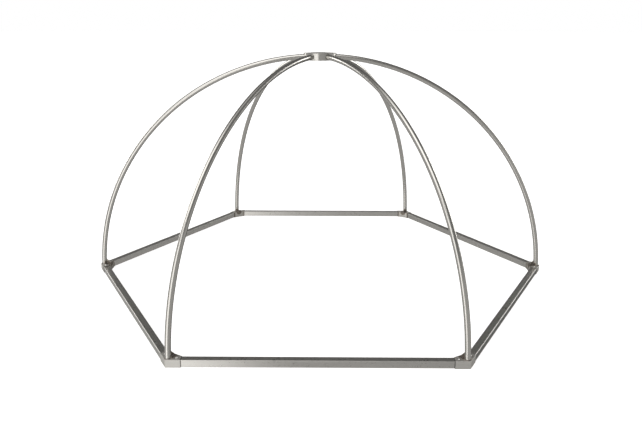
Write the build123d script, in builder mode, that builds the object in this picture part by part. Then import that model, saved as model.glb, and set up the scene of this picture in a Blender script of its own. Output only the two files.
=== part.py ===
from build123d import *
import os
from math import atan2, cos, radians, sin, tan

# Dome climber frame: a hexagonal base ring of square tube, six bent legs and a central hub.
# The origin is on the floor under the hub, +Z is up, and the front rail lies along X at -Y.
# All sizes are in millimetres.

# ---------------------------------------------------------------- overall sizes
corner_count = 6
base_radius = 1500.0  # dome axis to a leg axis, at the corners of the base
hub_axis_height = 1450.0  # floor to the leg axes, in the middle of the hub's rim

# ---------------------------------------------------------------- base rails, square tube
rail_size = 40.0
rail_wall = 2.0
rail_corner_radius = 3.0
rail_end_gap = 4.0  # between the mitre plane and the nearest edge of a rail end

# ---------------------------------------------------------------- corner fittings
sleeve_clearance = 0.25  # on each side of a rail
sleeve_wall = 2.0
sleeve_outer_corner = 2.4
sleeve_inner_corner = 1.0
arm_length = 65.0  # corner axis to the mouth of a sleeve arm

web_reach = 49.0  # corner axis to the face of the inner web
web_plate = 3.0
anchor_hole_diameter = 9.0
anchor_hole_spacing = 28.0
anchor_hole_height = 13.0

gusset_rise = 36.0  # along the leg, above the fitting
gusset_plate = 6.0
gusset_nose = 3.0  # height of its blunt inner end
gusset_inset = 3.0  # web face to its inner end

# ---------------------------------------------------------------- legs, round tube
leg_diameter = 32.0
leg_wall = 2.0
leg_dip = 3.0  # degrees that a leg slopes down where it leaves the hub
leg_straight_end = 20.0  # straight end that plugs into the hub
leg_end_gap = 4.0  # leg end to the inside of the hub rim

# ---------------------------------------------------------------- hub
hub_diameter = 208.0
hub_cheek = 6.0  # steel above and below the legs, at the rim
hub_crown = 4.0  # rise of the turned top face at its centre
hub_rim = 34.0  # radial thickness of the rim that holds the legs
hub_roof = 7.0
hub_edge_chamfer = 1.5
bore_clearance = 0.35  # around a leg
bore_mouth_gap = 1.6  # counterbore around the mouth of each leg bore
bore_mouth_depth = 5.0

cover_plate = 4.0
cover_clearance = 0.3
cover_ledge = 12.0  # width of the ledge in the rim that the cover sits on

# ---------------------------------------------------------------- fasteners
key_depth_share = 0.6  # depth of a key socket, of the height of its screw's head

arm_screw_diameter = 8.0
arm_screw_length = 14.0
arm_screw_head = 14.0
arm_screw_head_height = 4.4
arm_screw_key = 5.0
arm_screw_distance = 42.0  # corner axis to the screw
screw_hole_clearance = 0.25

nut_across_flats = 13.0
nut_height = 6.5

set_screw_diameter = 8.0
set_screw_key = 4.0

cover_screw_count = 3
cover_screw_diameter = 5.0
cover_screw_length = 10.0
cover_screw_head = 9.2
cover_screw_head_height = 2.6
cover_screw_key = 3.0

# ---------------------------------------------------------------- derived sizes
corner_step = 360.0 / corner_count
half_step = corner_step / 2
rail_inside = rail_size - 2 * rail_wall
sleeve_inside = rail_size + 2 * sleeve_clearance
sleeve_outside = sleeve_inside + 2 * sleeve_wall
rail_top = sleeve_outside - sleeve_wall  # the screws draw a rail up against its sleeve's roof
rail_side = 2 * base_radius * sin(radians(half_step))
rail_setback = rail_size / 2 * tan(radians(half_step)) + rail_end_gap
rail_length = rail_side - 2 * rail_setback

inner_vertex_reach = sleeve_outside / 2 / cos(radians(half_step))
web_half_width = (web_reach - inner_vertex_reach) / tan(radians(half_step))
web_inside_reach = web_reach - web_plate
web_inside_half_width = (web_inside_reach - inner_vertex_reach) / tan(radians(half_step))

leg_radius = leg_diameter / 2
hub_radius = hub_diameter / 2
hub_height = leg_diameter + 2 * hub_cheek  # at the rim
hub_bottom = hub_axis_height - hub_height / 2
hub_top = hub_axis_height + hub_height / 2
hub_inside_radius = hub_radius - hub_rim
rim_middle_radius = hub_radius - hub_rim / 2
bore_radius = leg_radius + bore_clearance
cover_seat_radius = hub_inside_radius + cover_ledge
cover_screw_radius = hub_inside_radius + cover_ledge / 2
dip_slope = tan(radians(leg_dip))
leg_underside = leg_radius / cos(radians(leg_dip)) + set_screw_diameter / 2 * dip_slope
set_screw_length = hub_height / 2 - leg_underside

# One corner is drawn on the +X axis, where XZ is its mirror plane, and copied round the dome.
# Its first arm runs towards the next corner, counter-clockwise.
corner = Vector(base_radius, 0, 0)
along_arm = Vector(-sin(radians(half_step)), cos(radians(half_step)), 0)
across_arm = Vector(cos(radians(half_step)), sin(radians(half_step)), 0)


def arm_point(distance, height):
    return corner + along_arm * distance + Vector(0, 0, height)


def arm_section(distance, height):
    # An upright plane across the arm, which faces away from the corner
    return Plane(origin=arm_point(distance, height), x_dir=across_arm, z_dir=along_arm)


def leg_axis_height(radius):
    # Height of the straight end of a leg's axis, at a distance from the dome's axis
    return hub_axis_height + (rim_middle_radius - radius) * dip_slope


def leg_section(angle, radius):
    # A plane square to the straight end of a leg, which faces away from the hub
    outward = Vector(cos(radians(angle)), sin(radians(angle)), 0)
    place = outward * radius + Vector(0, 0, leg_axis_height(radius))
    return Plane(origin=place, z_dir=outward - Vector(0, 0, dip_slope))


def button_screw(thread, length, head, head_height, key):
    # A dome-head screw that points down, with the seat of its head at the origin
    with BuildPart() as screw:
        with BuildSketch(Plane.XZ):
            with BuildLine():
                TangentArc((0, head_height), (head / 2, 0), tangent=(1, 0))
                Polyline((head / 2, 0), (thread / 2, 0), (thread / 2, -length), (0, -length), (0, head_height))
            make_face()
        revolve(axis=Axis.Z)
        with BuildSketch(Plane.XY.offset(head_height)):
            RegularPolygon(key / 2, 6, major_radius=False)
        extrude(amount=-key_depth_share * head_height, mode=Mode.SUBTRACT)
    return screw.part


def export_piece(piece, name):
    piece.label = name
    export_step(piece, f"parts/{name}.step")


def export_around(piece, name):
    # One copy for each corner, numbered counter-clockwise from +X
    for number in range(corner_count):
        export_piece(piece.rotate(Axis.Z, number * corner_step), f"{name}_{number + 1}")


os.makedirs("parts", exist_ok=True)

# ---------------------------------------------------------------- base rail
with BuildPart() as base_rail:
    with BuildSketch(arm_section(rail_setback, rail_top - rail_size / 2)):
        RectangleRounded(rail_size, rail_size, rail_corner_radius)
        RectangleRounded(rail_inside, rail_inside, rail_corner_radius - rail_wall, mode=Mode.SUBTRACT)
    extrude(amount=rail_length)
    for distance in (arm_screw_distance, rail_side - arm_screw_distance):
        with BuildSketch(Plane(origin=arm_point(distance, rail_top))):
            Circle(arm_screw_diameter / 2 + screw_hole_clearance)
        extrude(amount=-2 * rail_wall, mode=Mode.SUBTRACT)
export_around(base_rail.part, "base_rail")

# ---------------------------------------------------------------- corner sleeve
# Two hollow arms, mitred at the corner: one is cut on the mirror plane and mirrored
with BuildPart() as corner_sleeve:
    with BuildSketch(arm_section(-sleeve_outside, sleeve_outside / 2)):
        RectangleRounded(sleeve_outside, sleeve_outside, sleeve_outer_corner)
        RectangleRounded(sleeve_inside, sleeve_inside, sleeve_inner_corner, mode=Mode.SUBTRACT)
    extrude(amount=sleeve_outside + arm_length)
    split(bisect_by=Plane.XZ, keep=Keep.BOTTOM)
    with BuildSketch(Plane(origin=arm_point(arm_screw_distance, sleeve_outside))):
        Circle(arm_screw_diameter / 2 + screw_hole_clearance)
    extrude(amount=-2 * sleeve_wall, mode=Mode.SUBTRACT)
    mirror(about=Plane.XZ)
export_around(corner_sleeve.part, "corner_sleeve")

# ---------------------------------------------------------------- corner web
# A folded plate that closes the inside corner: a top and a face, open below
web_face_centre = (base_radius - web_reach, 0, anchor_hole_height)
with BuildPart() as corner_web:
    with BuildSketch():
        with BuildLine():
            Polyline(
                (base_radius - inner_vertex_reach, 0),
                (base_radius - web_reach, web_half_width),
                (base_radius - web_reach, -web_half_width),
                close=True,
            )
        make_face()
    extrude(amount=sleeve_outside)
    with BuildSketch():
        with BuildLine():
            Polyline(
                (base_radius - inner_vertex_reach, 0),
                (base_radius - web_inside_reach, web_inside_half_width),
                (base_radius - web_inside_reach, -web_inside_half_width),
                close=True,
            )
        make_face()
    extrude(amount=sleeve_outside - web_plate, mode=Mode.SUBTRACT)
    with BuildSketch(Plane(origin=web_face_centre, x_dir=(0, 1, 0), z_dir=(1, 0, 0))):
        with GridLocations(anchor_hole_spacing, anchor_hole_spacing, 2, 1):
            Circle(anchor_hole_diameter / 2)
    extrude(amount=web_plate, mode=Mode.SUBTRACT)
export_around(corner_web.part, "corner_web")

# ---------------------------------------------------------------- leg
# A straight end in the hub, then one arc down to the fitting. A short straight run carries the
# path on below the fitting's top, where the tube is cut off level.
leg_end_radius = hub_inside_radius + leg_end_gap
bend_start_radius = leg_end_radius + leg_straight_end
bend_start = (bend_start_radius, leg_axis_height(bend_start_radius))
leg_foot = (base_radius, sleeve_outside)
chord_angle = atan2(leg_foot[1] - bend_start[1], leg_foot[0] - bend_start[0])
foot_angle = 2 * chord_angle + radians(leg_dip)
overrun = (leg_diameter * cos(foot_angle), leg_diameter * sin(foot_angle))
with BuildLine(Plane.XZ) as leg_path:
    Line((leg_end_radius, leg_axis_height(leg_end_radius)), bend_start)
    TangentArc(bend_start, leg_foot, tangent=(1, -dip_slope))
    Line(leg_foot, (leg_foot[0] + overrun[0], leg_foot[1] + overrun[1]))

with BuildPart() as leg_tube:
    with BuildSketch(leg_section(0, leg_end_radius)):
        Circle(leg_radius)
        Circle(leg_radius - leg_wall, mode=Mode.SUBTRACT)
    sweep(path=leg_path.wire())
    split(bisect_by=Plane.XY.offset(sleeve_outside), keep=Keep.TOP)
export_around(leg_tube.part, "leg_tube")

# ---------------------------------------------------------------- gusset
# An upright plate in the corner's mirror plane, coped to the leg
with BuildPart() as leg_gusset:
    with BuildSketch(Plane.XZ):
        with BuildLine():
            Polyline(
                (base_radius, sleeve_outside),
                (base_radius - web_reach + gusset_inset, sleeve_outside),
                (base_radius - web_reach + gusset_inset, sleeve_outside + gusset_nose),
                (base_radius - leg_radius, sleeve_outside + gusset_rise),
                (base_radius, sleeve_outside + gusset_rise),
                close=True,
            )
        make_face()
    extrude(amount=gusset_plate / 2, both=True)
    with BuildSketch(leg_section(0, leg_end_radius)):
        Circle(leg_radius)
    sweep(path=leg_path.wire(), mode=Mode.SUBTRACT)
export_around(leg_gusset.part, "leg_gusset")

# ---------------------------------------------------------------- hub body
# Turned from the solid: a domed roof and a thick rim, with a radial bore for each leg
hub_face_radius = hub_radius - hub_edge_chamfer
with BuildPart() as hub_body:
    with BuildSketch(Plane.XZ):
        with BuildLine():
            TangentArc((0, hub_top + hub_crown), (hub_face_radius, hub_top), tangent=(1, 0))
            Polyline(
                (hub_face_radius, hub_top),
                (hub_radius, hub_top - hub_edge_chamfer),
                (hub_radius, hub_bottom + hub_edge_chamfer),
                (hub_face_radius, hub_bottom),
                (cover_seat_radius, hub_bottom),
                (cover_seat_radius, hub_bottom + cover_plate),
                (hub_inside_radius, hub_bottom + cover_plate),
                (hub_inside_radius, hub_top - hub_roof),
                (0, hub_top - hub_roof),
                (0, hub_top + hub_crown),
            )
        make_face()
    revolve(axis=Axis.Z)
    for number in range(corner_count):
        for radius, depth in (
            (bore_radius, hub_rim + leg_radius),
            (bore_radius + bore_mouth_gap, bore_mouth_depth),
        ):
            with BuildSketch(leg_section(number * corner_step, hub_radius - depth)):
                Circle(radius)
            extrude(amount=depth + leg_radius, mode=Mode.SUBTRACT)
    with BuildSketch(Plane.XY.offset(hub_bottom)):
        with PolarLocations(rim_middle_radius, corner_count):
            Circle(set_screw_diameter / 2)
    extrude(amount=hub_height / 2, mode=Mode.SUBTRACT)
    with BuildSketch(Plane.XY.offset(hub_bottom + cover_plate)):
        with PolarLocations(cover_screw_radius, cover_screw_count, start_angle=half_step):
            Circle(cover_screw_diameter / 2)
    extrude(amount=cover_screw_length, mode=Mode.SUBTRACT)
export_piece(hub_body.part, "hub_body")

# ---------------------------------------------------------------- hub cover
with BuildPart() as hub_cover:
    with BuildSketch(Plane.XY.offset(hub_bottom)):
        Circle(cover_seat_radius - cover_clearance)
        with PolarLocations(cover_screw_radius, cover_screw_count, start_angle=half_step):
            Circle(cover_screw_diameter / 2 + screw_hole_clearance, mode=Mode.SUBTRACT)
    extrude(amount=cover_plate)
export_piece(hub_cover.part, "hub_cover")

# ---------------------------------------------------------------- hub fasteners
with BuildPart() as hub_set_screws:
    with BuildSketch(Plane.XY.offset(hub_bottom)):
        with PolarLocations(rim_middle_radius, corner_count):
            Circle(set_screw_diameter / 2)
    extrude(amount=set_screw_length)
    with BuildSketch(Plane.XY.offset(hub_bottom)):
        with PolarLocations(rim_middle_radius, corner_count):
            RegularPolygon(set_screw_key / 2, 6, major_radius=False)
    extrude(amount=set_screw_length / 2, mode=Mode.SUBTRACT)
export_piece(hub_set_screws.part, "hub_set_screws")

cover_screw = button_screw(
    cover_screw_diameter, cover_screw_length, cover_screw_head, cover_screw_head_height, cover_screw_key
)
with BuildPart() as hub_cover_screws:
    with Locations(Plane.XY.offset(hub_bottom)):
        with PolarLocations(cover_screw_radius, cover_screw_count, start_angle=half_step):
            add(cover_screw, rotation=(180, 0, 0))
export_piece(hub_cover_screws.part, "hub_cover_screws")

# ---------------------------------------------------------------- arm fasteners
# One screw through the roof of every sleeve arm, into a nut welded inside the rail
arm_screw = button_screw(
    arm_screw_diameter, arm_screw_length, arm_screw_head, arm_screw_head_height, arm_screw_key
)
arm_screw_places = [
    arm_point(distance, sleeve_outside).rotate(Axis.Z, number * corner_step)
    for number in range(corner_count)
    for distance in (arm_screw_distance, rail_side - arm_screw_distance)
]
with BuildPart() as arm_screws:
    with Locations(*arm_screw_places):
        add(arm_screw)
export_piece(arm_screws.part, "arm_screws")

with BuildPart() as rail_nut:
    with BuildSketch(Plane.XY.offset(-sleeve_wall - rail_wall)):
        RegularPolygon(nut_across_flats / 2, 6, major_radius=False)
        Circle(arm_screw_diameter / 2, mode=Mode.SUBTRACT)
    extrude(amount=-nut_height)
with BuildPart() as rail_nuts:
    with Locations(*arm_screw_places):
        add(rail_nut.part)
export_piece(rail_nuts.part, "rail_nuts")
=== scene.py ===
import random
from math import cos, pi, radians, sin, sqrt, tan

import bpy
from mathutils import Matrix, Vector


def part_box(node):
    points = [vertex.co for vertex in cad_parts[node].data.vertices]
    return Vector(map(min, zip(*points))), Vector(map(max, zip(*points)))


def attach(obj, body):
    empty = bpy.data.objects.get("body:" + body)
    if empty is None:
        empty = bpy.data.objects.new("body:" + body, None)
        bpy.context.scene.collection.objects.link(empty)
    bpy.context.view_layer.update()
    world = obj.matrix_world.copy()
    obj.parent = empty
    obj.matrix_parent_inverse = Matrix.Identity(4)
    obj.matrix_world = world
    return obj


# Looks of the dome climber: satin stainless steel, weld beads, studio and camera.
# Everything is in metres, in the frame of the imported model. One corner of the dome lies on
# the +X axis, and the other five are copies of it, 60 degrees apart about Z.

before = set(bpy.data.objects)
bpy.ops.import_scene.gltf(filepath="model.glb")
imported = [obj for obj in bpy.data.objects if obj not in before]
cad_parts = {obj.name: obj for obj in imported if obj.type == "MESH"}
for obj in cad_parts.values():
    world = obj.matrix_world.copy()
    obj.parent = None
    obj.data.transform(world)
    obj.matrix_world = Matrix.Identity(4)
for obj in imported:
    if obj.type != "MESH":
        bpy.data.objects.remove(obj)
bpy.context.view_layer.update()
scene = bpy.context.scene

# ---------------------------------------------------------------- sizes of the frame
CORNERS = 6
STEP = 2 * pi / CORNERS
CORNER_RADIUS = 1.5  # dome axis to a leg axis at the base
FITTING_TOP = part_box("corner_sleeve_1")[1].z
SLEEVE_WIDTH = 0.0445
ARM_LENGTH = 0.065  # corner axis to the mouth of a sleeve
ARM_SCREW_PLACE = 0.042  # corner axis to the screw in each arm
WEB_FACE = 0.049  # corner axis to the face of the inner web
GUSSET_END = 0.046  # corner axis to the inner end of a gusset
GUSSET_HALF_PLATE = 0.003
GUSSET_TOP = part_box("leg_gusset_1")[1].z
LEG_RADIUS = 0.016
LEG_DIP = radians(3.0)  # slope of a leg where it leaves the hub
BEND_START = Vector((0.094, 0, 1.4496))  # end of a leg's straight run, in its own XZ plane

LEG_FOOT = Vector((CORNER_RADIUS, 0, FITTING_TOP))
CHORD = LEG_FOOT - BEND_START
TOWARDS_CENTRE = Vector((-sin(LEG_DIP), 0, -cos(LEG_DIP)))
ARC_RADIUS = CHORD.length_squared / (2 * CHORD.dot(TOWARDS_CENTRE))
ARC_CENTRE = BEND_START + TOWARDS_CENTRE * ARC_RADIUS
INNER_VERTEX = CORNER_RADIUS - SLEEVE_WIDTH / 2 / cos(STEP / 2)
WEB_HALF_WIDTH = (INNER_VERTEX - (CORNER_RADIUS - WEB_FACE)) / tan(STEP / 2)


def direction(azimuth, elevation):
    """Unit vector from the dome. Azimuth 0 is towards the camera's side, -Y, and 90 is +X."""
    a, e = radians(azimuth), radians(elevation)
    return Vector((sin(a) * cos(e), -cos(a) * cos(e), sin(e)))


# ---------------------------------------------------------------- node trees
class Tree:
    """Short calls that add and link the nodes of one node tree."""

    def __init__(self, owner):
        owner.use_nodes = True
        self.tree = owner.node_tree
        self.tree.nodes.clear()

    def add(self, kind, inputs, output=0, **settings):
        node = self.tree.nodes.new(kind)
        for key, value in settings.items():
            setattr(node, key, value)
        for key, value in inputs.items():
            if isinstance(value, bpy.types.NodeSocket):
                self.tree.links.new(value, node.inputs[key])
            else:
                node.inputs[key].default_value = value
        return node.outputs[output] if len(node.outputs) else node

    def math(self, operation, *values):
        return self.add("ShaderNodeMath", dict(enumerate(values)), operation=operation)

    def vector(self, operation, *values, output=0):
        return self.add("ShaderNodeVectorMath", dict(enumerate(values)), output, operation=operation)

    def split(self, vector):
        node = self.add("ShaderNodeSeparateXYZ", {0: vector}).node
        return node.outputs[0], node.outputs[1], node.outputs[2]

    def join(self, x, y, z):
        return self.add("ShaderNodeCombineXYZ", {0: x, 1: y, 2: z})

    def smooth(self, value, start, end, low=0.0, high=1.0):
        """low below start, high above end, and a smooth step between. start may be the larger."""
        inputs = {0: value, 1: start, 2: end, 3: low, 4: high}
        return self.add("ShaderNodeMapRange", inputs, interpolation_type="SMOOTHSTEP")

    def noise(self, vector, scale=1.0, detail=2.0, roughness=0.5):
        """Noise about zero, from about -0.5 to 0.5."""
        inputs = {"Vector": vector, "Scale": scale, "Detail": detail, "Roughness": roughness}
        return self.math("SUBTRACT", self.add("ShaderNodeTexNoise", inputs), 0.5)

    def mix(self, share, first, second):
        inputs = {0: share, 6: first, 7: second}
        return self.add("ShaderNodeMix", inputs, 2, data_type="RGBA")

    def shaded(self, colour, share):
        """The colour times a share that varies over the surface."""
        return self.add("ShaderNodeVectorMath", {0: colour[:3], "Scale": share}, operation="SCALE")

    def total(self, start, *pairs):
        """start plus each value times its weight."""
        for value, weight in pairs:
            start = self.math("MULTIPLY_ADD", value, weight, start)
        return start

    def place(self):
        """The shading point in the piece's own frame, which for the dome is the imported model's."""
        return self.add("ShaderNodeTexCoord", {}, "Object")

    def corner_place(self):
        """The shading point turned about Z into the sector of the corner on +X."""
        point = self.place()
        x, y, _ = self.split(point)
        sector = self.math("ROUND", self.math("DIVIDE", self.math("ARCTAN2", y, x), STEP))
        turn = self.math("MULTIPLY", sector, -STEP)
        inputs = {"Vector": point, "Angle": turn}
        return self.add("ShaderNodeVectorRotate", inputs, rotation_type="Z_AXIS")


# ---------------------------------------------------------------- steel
STEEL = (0.615, 0.605, 0.580, 1.0)
SCREW_STEEL = (0.82, 0.81, 0.79, 1.0)
BURNT_TINT = (0.20, 0.175, 0.155, 1.0)  # nearest a weld
STRAW_TINT = (0.50, 0.46, 0.39, 1.0)  # round the burnt metal
# colour of the darker band at the sleeves' mouths and of the painted shadow round the arm screws
BAND_AND_SHADOW_TINT = (0.10, 0.095, 0.085, 1.0)
RUBBED_TINT = (0.80, 0.79, 0.77, 1.0)
BEAD_BROWN = (0.16, 0.115, 0.08, 1.0)
BEAD_GREY = (0.30, 0.29, 0.29, 1.0)
BEAD_BRIGHT = (0.52, 0.50, 0.47, 1.0)

# Grain of the polish: scales of its noise along it and across it
FINE_GRAIN = (9.0, 1300.0)
BROAD_GRAIN = (2.2, 190.0)
SCRATCH_GRAIN = (30.0, 620.0)
PIECE_SHIFT = 37.0  # the most that a piece's grain is moved along itself

# Heat beside the welds. Distances are in metres here and below
HEAT_WOBBLE = 0.012  # how far the noise moves the edges of the heat
FOOT_HEAT_END = 0.031  # from the line under the leg and the gusset
FOOT_HEAT_FULL = 0.0175
OUTER_HEAT = 0.12  # share of the heat on the outer side of a corner
OUTER_HEAT_FROM = 0.004  # outward from the corner axis
FULL_HEAT_FROM = 0.014  # inward from the corner axis
WEB_HEAT = 0.6
WEB_HEAT_END = 0.012  # from the side edge of the web's face
WEB_HEAT_FULL = 0.002

# Darker band at the mouths of the sleeves, painted shadow round the arm screws, and rubbing
MOUTH_BAND_REACH = 0.0048  # beyond the mouth of a sleeve
MOUTH_BAND_FADE = 0.0026
MOUTH_BAND_BACK = 0.0007  # back from the mouth
# Painted shadow round the head of an arm screw, on the top of the fitting: its reach, full darkness
# and depth
SCREW_SHADOW_REACH = 0.0100  # from the axis of an arm screw
SCREW_SHADOW_FULL = 0.0076
SCREW_SHADOW_DEPTH = 0.0045  # below the top of the fitting
RUBBED_EDGE = 0.0018


def stretched(t, along, across, up, long_scale, cross_scale):
    """Coordinates for a noise whose grains are long in the first direction."""
    return t.join(
        t.math("MULTIPLY", along, long_scale),
        t.math("MULTIPLY", across, cross_scale),
        t.math("MULTIPLY", up, cross_scale),
    )


def leg_grain(t):
    """Along the bent leg, from the arc's centre out, and sideways."""
    x, y, z = t.split(t.corner_place())
    out = t.math("SUBTRACT", x, ARC_CENTRE.x)
    up = t.math("SUBTRACT", z, ARC_CENTRE.z)
    along = t.math("MULTIPLY", t.math("ARCTAN2", up, out), ARC_RADIUS)
    reach = t.math("SQRT", t.total(t.math("MULTIPLY", up, up), (out, out)))
    return along, reach, y


def arm_grain(t):
    """Along the rail from its nearer corner, across it, and up."""
    x, y, z = t.split(t.corner_place())
    x = t.math("SUBTRACT", x, CORNER_RADIUS)
    y = t.math("ABSOLUTE", y)
    half = STEP / 2
    along = t.total(t.math("MULTIPLY", x, -sin(half)), (y, cos(half)))
    across = t.total(t.math("MULTIPLY", x, cos(half)), (y, sin(half)))
    return along, across, z


def web_grain(t):
    """Level across the corner."""
    x, y, z = t.split(t.corner_place())
    return y, x, z


def turned_grain(t):
    """Fine rings about the hub's axis, and round its rim."""
    x, y, z = t.split(t.place())
    radius = t.math("SQRT", t.total(t.math("MULTIPLY", x, x), (y, y)))
    return t.math("ARCTAN2", y, x), radius, z


def weld_heat(t):
    """Heat beside the welds of a corner: 1 where the metal is burnt, and 0 where it is clean."""
    point = t.corner_place()
    x, y, _ = t.split(point)
    nearest = t.add("ShaderNodeClamp", {0: x, 1: CORNER_RADIUS - GUSSET_END, 2: CORNER_RADIUS})
    seam = t.join(nearest, 0.0, FITTING_TOP)
    wobble = t.math("MULTIPLY", t.noise(t.place(), 140.0, 3.0), HEAT_WOBBLE)
    away = t.math("ADD", t.vector("DISTANCE", point, seam, output=1), wobble)
    outside, inside = CORNER_RADIUS + OUTER_HEAT_FROM, CORNER_RADIUS - FULL_HEAT_FROM
    inner = t.smooth(x, outside, inside, OUTER_HEAT, 1.0)
    foot = t.math("MULTIPLY", t.smooth(away, FOOT_HEAT_END, FOOT_HEAT_FULL), inner)
    side = t.join(x, t.math("ABSOLUTE", y), 0.0)
    edge = (CORNER_RADIUS - WEB_FACE, WEB_HALF_WIDTH, 0.0)
    away = t.math("ADD", t.vector("DISTANCE", side, edge, output=1), wobble)
    web = t.smooth(away, WEB_HEAT_END, WEB_HEAT_FULL, 0.0, WEB_HEAT)
    return t.math("MAXIMUM", foot, web)


def mouth_band_and_screw_shadow(t):
    """A darker band against the mouth of a sleeve and a painted shadow round the head of an arm
    screw, and 0 elsewhere.
    """
    along, across, up = arm_grain(t)
    patchy = t.smooth(t.noise(t.place(), 90.0, 3.0), -0.3, 0.15, 0.55, 0.95)
    beyond = t.math("SUBTRACT", along, ARM_LENGTH)
    close = t.smooth(beyond, MOUTH_BAND_REACH, MOUTH_BAND_REACH - MOUTH_BAND_FADE)
    mouth = t.math("MULTIPLY", close, t.math("GREATER_THAN", beyond, -MOUTH_BAND_BACK))
    # painted shadow round the head of an arm screw, on the top of the fitting
    head = t.vector("DISTANCE", t.join(along, across, 0.0), (ARM_SCREW_PLACE, 0.0, 0.0), output=1)
    near = t.smooth(head, SCREW_SHADOW_REACH, SCREW_SHADOW_FULL)
    ring = t.math("MULTIPLY", near, t.math("GREATER_THAN", up, FITTING_TOP - SCREW_SHADOW_DEPTH))
    return t.math("MULTIPLY", t.math("MAXIMUM", mouth, ring), patchy)


def steel(name, grain, roughness, tone=1.0, anisotropy=0.0, rotation=0.0, welded=False, worn=False,
          mouth_band_and_shadow=False):
    """Satin stainless steel: fine and broad polishing grain, clouding, stains and scratches.

    welded adds the heat tint, worn the rubbed edges, and the last flag a darker band at the sleeves'
    mouths and a painted shadow round the arm screws."""
    material = bpy.data.materials.new(name)
    t = Tree(material)
    along, across, up = grain(t)
    shift = t.math("MULTIPLY", t.add("ShaderNodeObjectInfo", {}, "Random"), PIECE_SHIFT)
    along = t.math("ADD", along, shift)
    fine = t.noise(stretched(t, along, across, up, *FINE_GRAIN), detail=3.0)
    broad = t.noise(stretched(t, along, across, up, *BROAD_GRAIN), detail=2.0)
    cloud = t.noise(t.place(), 7.0, 4.0, 0.6)
    stain = t.noise(t.place(), 38.0, 5.0, 0.65)
    scratch_field = t.noise(stretched(t, along, across, up, *SCRATCH_GRAIN), detail=1.0)
    scratch = t.smooth(scratch_field, 0.19, 0.25)
    shade = t.total(tone, (fine, 0.16), (broad, 0.14), (cloud, 0.12), (stain, 0.07), (scratch, 0.10))
    rough = t.total(roughness, (fine, 0.10), (broad, 0.08), (stain, 0.14), (scratch, -0.05))
    colour = t.shaded(STEEL, shade)
    height = t.total(0.0, (fine, 1.0), (broad, 0.5), (scratch, -0.8))
    if welded:
        heat = weld_heat(t)
        colour = t.mix(t.smooth(heat, 0.05, 0.50, 0.0, 0.8), colour, STRAW_TINT)
        colour = t.mix(t.smooth(heat, 0.45, 1.00, 0.0, 0.85), colour, BURNT_TINT)
        rough = t.total(rough, (heat, 0.18))
    # darker band at the sleeves' mouths, and painted shadow round the arm screws
    if mouth_band_and_shadow:
        band_and_shadow = mouth_band_and_screw_shadow(t)
        colour = t.mix(band_and_shadow, colour, BAND_AND_SHADOW_TINT)
        rough = t.total(rough, (band_and_shadow, 0.2))
    if worn:
        bevel = t.add("ShaderNodeBevel", {"Radius": RUBBED_EDGE}, samples=4)
        normal = t.add("ShaderNodeNewGeometry", {}, "Normal")
        edge = t.smooth(t.vector("DOT_PRODUCT", bevel, normal, output=1), 0.995, 0.90)
        patchy = t.math("MULTIPLY", edge, t.smooth(stain, -0.25, 0.1))
        colour = t.mix(t.math("MULTIPLY", patchy, 0.45), colour, RUBBED_TINT)
        rough = t.total(rough, (patchy, -0.08))
    bump = t.add("ShaderNodeBump", {"Strength": 0.35, "Distance": 0.00004, "Height": height})
    inputs = {
        "Base Color": colour,
        "Metallic": 1.0,
        "Roughness": t.add("ShaderNodeClamp", {0: rough, 1: 0.08, 2: 0.75}),
        "Normal": bump,
        "Anisotropic": anisotropy,
        "Anisotropic Rotation": rotation,
    }
    if anisotropy:
        inputs["Tangent"] = t.add("ShaderNodeTangent", {}, direction_type="RADIAL", axis="Z")
    shader = t.add("ShaderNodeBsdfPrincipled", inputs)
    t.add("ShaderNodeOutputMaterial", {"Surface": shader})
    return material


def weld_steel(name):
    """Burnt weld metal: dark brown and grey in patches, with brighter specks."""
    material = bpy.data.materials.new(name)
    t = Tree(material)
    patch = t.noise(t.place(), 160.0, 3.0)
    speck = t.noise(t.place(), 900.0, 3.0, 0.7)
    colour = t.mix(t.smooth(patch, -0.18, 0.12), BEAD_BROWN, BEAD_GREY)
    colour = t.mix(t.smooth(speck, 0.0, 0.22), colour, BEAD_BRIGHT)
    inputs = {
        "Base Color": colour,
        "Metallic": 1.0,
        "Roughness": t.total(0.38, (patch, 0.2), (speck, 0.2)),
        "Normal": t.add("ShaderNodeBump", {"Strength": 0.4, "Distance": 0.0002, "Height": speck}),
    }
    shader = t.add("ShaderNodeBsdfPrincipled", inputs)
    t.add("ShaderNodeOutputMaterial", {"Surface": shader})
    return material


def screw_steel(name):
    """Bright screws and nuts, faintly clouded and rubbed."""
    material = bpy.data.materials.new(name)
    t = Tree(material)
    rub = t.noise(t.place(), 420.0, 4.0, 0.6)
    cloud = t.noise(t.place(), 60.0, 2.0)
    shade = t.total(1.0, (rub, 0.18), (cloud, 0.12))
    colour = t.shaded(SCREW_STEEL, shade)
    inputs = {
        "Base Color": colour,
        "Metallic": 1.0,
        "Roughness": t.total(0.27, (rub, 0.16), (cloud, 0.08)),
        "Normal": t.add("ShaderNodeBump", {"Strength": 0.3, "Distance": 0.00005, "Height": rub}),
    }
    shader = t.add("ShaderNodeBsdfPrincipled", inputs)
    t.add("ShaderNodeOutputMaterial", {"Surface": shader})
    return material


rail_steel = steel("rail_steel", arm_grain, 0.30, tone=0.94, mouth_band_and_shadow=True)
sleeve_steel = steel("sleeve_steel", arm_grain, 0.58, tone=1.05, welded=True, worn=True, mouth_band_and_shadow=True)
web_steel = steel("web_steel", web_grain, 0.36, welded=True, worn=True)
leg_steel = steel("leg_steel", leg_grain, 0.22, welded=True)
hub_steel = steel("hub_steel", turned_grain, 0.30, anisotropy=0.75, rotation=0.25)
cover_steel = steel("cover_steel", turned_grain, 0.34)
bright_steel = screw_steel("bright_steel")

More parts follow.
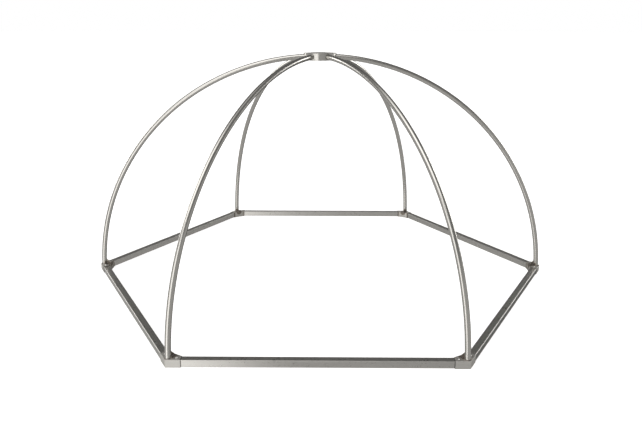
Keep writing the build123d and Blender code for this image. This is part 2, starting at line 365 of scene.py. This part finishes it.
finishes = {
    "base_rail": rail_steel,
    "corner_sleeve": sleeve_steel,
    "corner_web": web_steel,
    "leg_gusset": web_steel,
    "leg_tube": leg_steel,
    "hub_body": hub_steel,
    "hub_cover": cover_steel,
    "hub_set_screws": bright_steel,
    "hub_cover_screws": bright_steel,
    "arm_screws": bright_steel,
    "rail_nuts": bright_steel,
}
for name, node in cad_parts.items():
    kind = name.rstrip("0123456789").rstrip("_")
    for material_slot in node.material_slots:
        material_slot.material = finishes[kind]

# ---------------------------------------------------------------- weld beads
RIPPLE_PITCH = 0.0021
RIPPLE_STATIONS = 6  # rows of points to a ripple
RIPPLE_DEPTH = 0.13  # of the bead's leg
RIPPLE_BOW = 0.9  # how far a ripple's middle trails its ends, in pitches
RIPPLE_SWELL = (0.75, 1.15)  # range of the depth, from ripple to ripple
BEAD_ROOT = 0.0005  # how far a bead reaches into the metal under it
BEAD_POINTS = 6  # across the face of a bead
BEAD_END = 0.45  # size of a bead at its open ends, as a share
END_LENGTH = 1.5  # ripples in which an open end would grow by a whole size
VALLEY_BULGE = 0.8  # share of the bulge that is left between two ripples
CREST_BULGE = 0.35  # and what the crest of a ripple adds

# Leg of each bead, and how far its face bulges, as a share of that
FOOT_BEAD, GUSSET_BEAD, FILLET_BULGE = 0.0034, 0.0027, 0.16
WEB_BEAD, WEB_BULGE = 0.0024, 0.30
EDGE_BEAD, EDGE_BULGE = 0.0019, 0.28
FOOT_BEAD_POINTS = 96
GUSSET_BEAD_POINTS = 12

# Gaps between the ends of a bead and of its seam
LEG_SIDE_GAPS = (0.002, 0.0015)  # low and high, up the leg beside the gusset
GUSSET_FOOT_GAPS = (0.001, 0.0005)  # at the leg, and at the gusset's inner end
WEB_SIDE_GAPS = (0.003, 0.002)  # low and high, down the side of the web
EDGE_START = 0.004  # from the middle of the web's top edge
EDGE_TIP_GAPS = (0.001, 0.002)  # from the web's face, and from its side

UP = Vector((0, 0, 1))


def leg_axis_x(height):
    """How far the axis of a leg is from the dome's, at a height on its arc."""
    return ARC_CENTRE.x + sqrt(ARC_RADIUS**2 - (height - ARC_CENTRE.z) ** 2)


class Beads:
    """The weld beads of one corner, gathered into one mesh, with the stacked ripples of hand work."""

    def __init__(self, seed):
        self.verts = []
        self.faces = []
        self.chance = random.Random(seed)

    def lay(self, points, sides, size, bulge):
        """A bead along the points. A path that ends where it starts makes a closed ring.

        sides gives, at each point, the two directions in which the bead spreads from its seam, and
        the one in which it bulges."""
        closed = (points[0] - points[-1]).length < 1e-6
        lengths = [0.0]
        for a, b in zip(points, points[1:]):
            lengths.append(lengths[-1] + (b - a).length)
        ripples = max(3, round(lengths[-1] / RIPPLE_PITCH))
        swells = [self.chance.uniform(*RIPPLE_SWELL) for _ in range(ripples)]
        rows = ripples * RIPPLE_STATIONS
        made = rows if closed else rows + 1
        first = len(self.verts)
        segment = 0
        for row in range(made):
            travel = lengths[-1] * row / rows
            while segment < len(points) - 2 and lengths[segment + 1] < travel:
                segment += 1
            share = (travel - lengths[segment]) / max(lengths[segment + 1] - lengths[segment], 1e-9)
            seam = points[segment].lerp(points[segment + 1], share)
            pairs = zip(sides[segment], sides[segment + 1])
            one, two, out = (a.lerp(b, share).normalized() for a, b in pairs)
            near_end = min(row, rows - row) / (END_LENGTH * RIPPLE_STATIONS)
            leg = size * (1.0 if closed else min(1.0, BEAD_END + near_end))
            for column in range(BEAD_POINTS):
                t = column / (BEAD_POINTS - 1)
                hump = 4 * t * (1 - t)
                turn = (row / RIPPLE_STATIONS + RIPPLE_BOW * hump) % ripples
                crest = 1 - (turn % 1.0) ** 2
                scale = leg * (1 + RIPPLE_DEPTH * (crest - 0.5) * swells[int(turn) % ripples])
                face = seam + one * scale * (1 - t) + two * scale * t
                rise = bulge * leg * hump * (VALLEY_BULGE + CREST_BULGE * crest)
                self.verts.append(face + out * rise)
            self.verts.append(seam - out * BEAD_ROOT)
        self.skin(first, made, closed)

    def skin(self, first, rows, closed):
        """Faces round the rows of points that start at the first one, with caps on an open bead."""
        across = BEAD_POINTS + 1
        for row in range(rows if closed else rows - 1):
            here = first + row * across
            there = first + (row + 1) % rows * across
            for column in range(across):
                after = (column + 1) % across
                self.faces.append((here + column, here + after, there + after, there + column))
        if not closed:
            last = first + (rows - 1) * across
            self.faces.append(tuple(first + c for c in reversed(range(across))))
            self.faces.append(tuple(last + c for c in range(across)))

    def straight(self, start, end, one, two, out, size, bulge):
        self.lay([start, end], [(one, two, out)] * 2, size, bulge)


def weld_foot(beads):
    """Round the foot of the leg, which meets the fitting at a slight slant."""
    foot_slope = (FITTING_TOP - ARC_CENTRE.z) / ARC_RADIUS
    lean = Vector((-(FITTING_TOP - ARC_CENTRE.z), 0, LEG_FOOT.x - ARC_CENTRE.x)).normalized()
    slant = LEG_RADIUS / sqrt(1 - foot_slope**2)
    ring, sides = [], []
    for i in range(FOOT_BEAD_POINTS + 1):
        a = 2 * pi * i / FOOT_BEAD_POINTS
        radial = Vector((cos(a), sin(a), 0))
        ring.append(LEG_FOOT + Vector((slant * cos(a), LEG_RADIUS * sin(a), 0)))
        sides.append((radial, lean, (radial + lean).normalized()))
    beads.lay(ring, sides, FOOT_BEAD, FILLET_BULGE)


def weld_gusset(beads, side):
    """Up the leg beside the gusset, then along the fitting."""
    face = side * GUSSET_HALF_PLATE
    inward = sqrt(LEG_RADIUS**2 - face**2)
    round_leg = Vector((GUSSET_HALF_PLATE / LEG_RADIUS, side, 0)).normalized()
    spread = (round_leg, Vector((-1, 0, 0)), Vector((-1, side, 0)).normalized())
    low = FITTING_TOP + LEG_SIDE_GAPS[0]
    high = GUSSET_TOP - LEG_SIDE_GAPS[1]
    path = []
    for i in range(GUSSET_BEAD_POINTS + 1):
        height = low + (high - low) * i / GUSSET_BEAD_POINTS
        path.append(Vector((leg_axis_x(height) - inward, face, height)))
    beads.lay(path, [spread] * len(path), GUSSET_BEAD, FILLET_BULGE)

    start = Vector((CORNER_RADIUS - LEG_RADIUS - GUSSET_FOOT_GAPS[0], face, FITTING_TOP))
    end = Vector((CORNER_RADIUS - GUSSET_END + GUSSET_FOOT_GAPS[1], face, FITTING_TOP))
    beside = Vector((0, side, 0))
    beads.straight(start, end, beside, UP, (beside + UP).normalized(), GUSSET_BEAD, FILLET_BULGE)


def weld_web(beads, side):
    """Down the side of the web's face, where it meets an arm, then a low bead along its top edge."""
    seam = Vector((CORNER_RADIUS - WEB_FACE, side * WEB_HALF_WIDTH, 0))
    arm_side = Vector((-sin(STEP / 2), side * cos(STEP / 2), 0))
    out = Vector((-sin(STEP * 3 / 4), -side * cos(STEP * 3 / 4), 0))
    low, high = seam + UP * WEB_SIDE_GAPS[0], seam + UP * (FITTING_TOP - WEB_SIDE_GAPS[1])
    beads.straight(low, high, arm_side, Vector((0, -side, 0)), out, WEB_BEAD, WEB_BULGE)

    vertex = Vector((INNER_VERTEX, side * EDGE_START, FITTING_TOP))
    back, aside = EDGE_TIP_GAPS
    tip = Vector((CORNER_RADIUS - WEB_FACE + back, side * (WEB_HALF_WIDTH - aside), FITTING_TOP))
    level = (tip - vertex).cross(UP).normalized()
    beads.straight(vertex, tip, level, -level, UP, EDGE_BEAD, EDGE_BULGE)


def new_mesh(name, verts, faces, material):
    """A mesh object in the scene, with one material."""
    mesh = bpy.data.meshes.new(name)
    mesh.from_pydata(verts, [], faces)
    mesh.materials.append(material)
    made = bpy.data.objects.new(name, mesh)
    scene.collection.objects.link(made)
    return made


def corner_welds(number, material):
    """The beads are worked out for the corner on +X, and turned to their own."""
    beads = Beads(seed=20 + number)
    weld_foot(beads)
    for side in (-1, 1):
        weld_gusset(beads, side)
        weld_web(beads, side)
    turn = Matrix.Rotation(number * STEP, 4, "Z")
    verts = [tuple(turn @ v) for v in beads.verts]
    piece = new_mesh(f"corner_welds_{number + 1}", verts, beads.faces, material)
    piece.data.validate()
    for polygon in piece.data.polygons:
        polygon.use_smooth = True
    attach(piece, "root")


weld_metal = weld_steel("weld_metal")
for number in range(CORNERS):
    corner_welds(number, weld_metal)

# ---------------------------------------------------------------- studio
scene.view_settings.view_transform = "Standard"
scene.view_settings.look = "None"
LIGHT_COLOUR = (1.0, 0.985, 0.96, 1.0)
WHITE = (1.0, 1.0, 1.0, 1.0)

# Soft lights far from the dome: azimuth, elevation, half-angles of the bright middle and of the
# faded edge, strength
PANELS = (
    (-40, 52, 18, 38, 1.60),
    (-124, 12, 6, 16, 3.90),
    (124, 12, 6, 16, 4.30),
    (180, 4, 4, 10, 0.90),
)
# Dark flags: azimuth, elevation, half-angles, share of the light they take
FLAGS = (
    (180, 32, 16, 44, 0.30),
    (180, -14, 16, 34, 0.65),
    (140, -27, 12, 32, 0.70),
)
# The rest of the studio darkens from low down to high up, between two heights on a unit sphere
LOW_LIGHT = 0.44
HIGH_LIGHT = 0.18
DARKENING = (0.08, 0.45)


def studio_world():
    """The light that the steel reflects. The camera itself sees plain white."""
    world = bpy.data.worlds.new("studio")
    t = Tree(world)
    look = t.add("ShaderNodeTexCoord", {}, "Generated")

    def patch(azimuth, elevation, inner, outer, away, inside):
        facing = t.vector("DOT_PRODUCT", look, direction(azimuth, elevation), output=1)
        return t.smooth(facing, cos(radians(outer)), cos(radians(inner)), away, inside)

    _, _, height = t.split(look)
    light = t.smooth(height, *DARKENING, LOW_LIGHT, HIGH_LIGHT)
    for *place, share in FLAGS:
        light = t.math("MULTIPLY", light, patch(*place, 1.0, 1.0 - share))
    for *place, strength in PANELS:
        light = t.math("ADD", light, patch(*place, 0.0, strength))
    reflected = t.add("ShaderNodeBackground", {"Color": LIGHT_COLOUR, "Strength": light})
    backdrop = t.add("ShaderNodeBackground", {"Color": WHITE, "Strength": 1.0})
    seen = t.add("ShaderNodeLightPath", {}, "Is Camera Ray")
    shown = t.add("ShaderNodeMixShader", {0: seen, 1: reflected, 2: backdrop})
    t.add("ShaderNodeOutputWorld", {"Surface": shown})
    return world


scene.world = studio_world()

FLOOR_RADIUS = 120.0
FLOOR_SIDES = 96
FLOOR_DROP = 0.0002  # keeps the floor clear of the fittings' undersides
FLOOR_PAINT = (0.86, 0.86, 0.86, 1.0)
FLOOR_GLOW = 0.80


def studio_floor():
    material = bpy.data.materials.new("pale_floor")
    t = Tree(material)
    paint = t.add("ShaderNodeBsdfDiffuse", {"Color": FLOOR_PAINT})
    glow = t.add("ShaderNodeEmission", {"Color": WHITE, "Strength": FLOOR_GLOW})
    t.add("ShaderNodeOutputMaterial", {"Surface": t.add("ShaderNodeAddShader", {0: paint, 1: glow})})
    turns = [2 * pi * i / FLOOR_SIDES for i in range(FLOOR_SIDES)]
    rim = [(FLOOR_RADIUS * cos(a), FLOOR_RADIUS * sin(a), -FLOOR_DROP) for a in turns]
    floor = new_mesh("floor", rim, [tuple(range(FLOOR_SIDES))], material)
    # The lights also stand below the floor's level, where the steel reflects them
    floor.visible_glossy = False
    floor.visible_shadow = False


studio_floor()

WALL_PLACE = Vector((-4.3, -5.6, -0.6))
WALL_HALF_WIDTH = 3.9
WALL_HALF_HEIGHT = 4.8
WALL_STRENGTH = 1.55
WALL_FADE_RIGHT = 1.3
WALL_FADE_LEFT = 2.0
WALL_FADE_TOP = 1.1


def lit_wall():
    """A wide soft wall of light to the left of the camera. It reaches below the floor's level."""
    material = bpy.data.materials.new("wall_light")
    t = Tree(material)
    x, _, z = t.split(t.place())
    right = t.smooth(x, WALL_HALF_WIDTH, WALL_HALF_WIDTH - WALL_FADE_RIGHT)
    left = t.smooth(x, -WALL_HALF_WIDTH, WALL_FADE_LEFT - WALL_HALF_WIDTH)
    top = t.smooth(z, WALL_HALF_HEIGHT, WALL_HALF_HEIGHT - WALL_FADE_TOP)
    sides = t.math("MULTIPLY", right, left)
    strength = t.math("MULTIPLY", sides, t.math("MULTIPLY", top, WALL_STRENGTH))
    glow = t.add("ShaderNodeEmission", {"Color": LIGHT_COLOUR, "Strength": strength})
    t.add("ShaderNodeOutputMaterial", {"Surface": glow})
    corners = [(-1, -1), (1, -1), (1, 1), (-1, 1)]
    verts = [(x * WALL_HALF_WIDTH, 0, z * WALL_HALF_HEIGHT) for x, z in corners]
    wall = new_mesh("lit_wall", verts, [(0, 1, 2, 3)], material)
    wall.location = WALL_PLACE
    wall.visible_camera = False
    wall.visible_shadow = False


lit_wall()

TOP_LIGHT_PLACE = Vector((0, -0.2, 6.5))
TOP_LIGHT_SIZE = 3.0
TOP_LIGHT_WATTS = 9.0


def top_light():
    """A round soft light straight above, facing down."""
    lamp = bpy.data.lights.new("top_light", "AREA")
    lamp.shape = "DISK"
    lamp.size = TOP_LIGHT_SIZE
    lamp.energy = TOP_LIGHT_WATTS
    lamp.color = LIGHT_COLOUR[:3]
    light = bpy.data.objects.new("top_light", lamp)
    light.location = TOP_LIGHT_PLACE
    scene.collection.objects.link(light)


top_light()

# ---------------------------------------------------------------- camera
CAMERA_PLACE = Vector((0.031, -4.133, 1.654))
CAMERA_YAW = radians(-0.32)  # from +Y towards +X
CAMERA_PITCH = radians(16.56)  # below level
CAMERA_ROLL = radians(0.12)
CAMERA_LENS = 35.6  # millimetres, on a sensor 36 mm wide


def add_camera():
    data = bpy.data.cameras.new("camera")
    data.lens = CAMERA_LENS
    data.sensor_width = 36.0
    data.clip_end = 500.0
    camera = bpy.data.objects.new("camera", data)
    scene.collection.objects.link(camera)
    heading = Matrix.Rotation(-CAMERA_YAW, 4, "Z")
    tilt = Matrix.Rotation(pi / 2 - CAMERA_PITCH, 4, "X")
    roll = Matrix.Rotation(CAMERA_ROLL, 4, "Z")
    camera.matrix_world = Matrix.Translation(CAMERA_PLACE) @ heading @ tilt @ roll
    scene.camera = camera


add_camera()
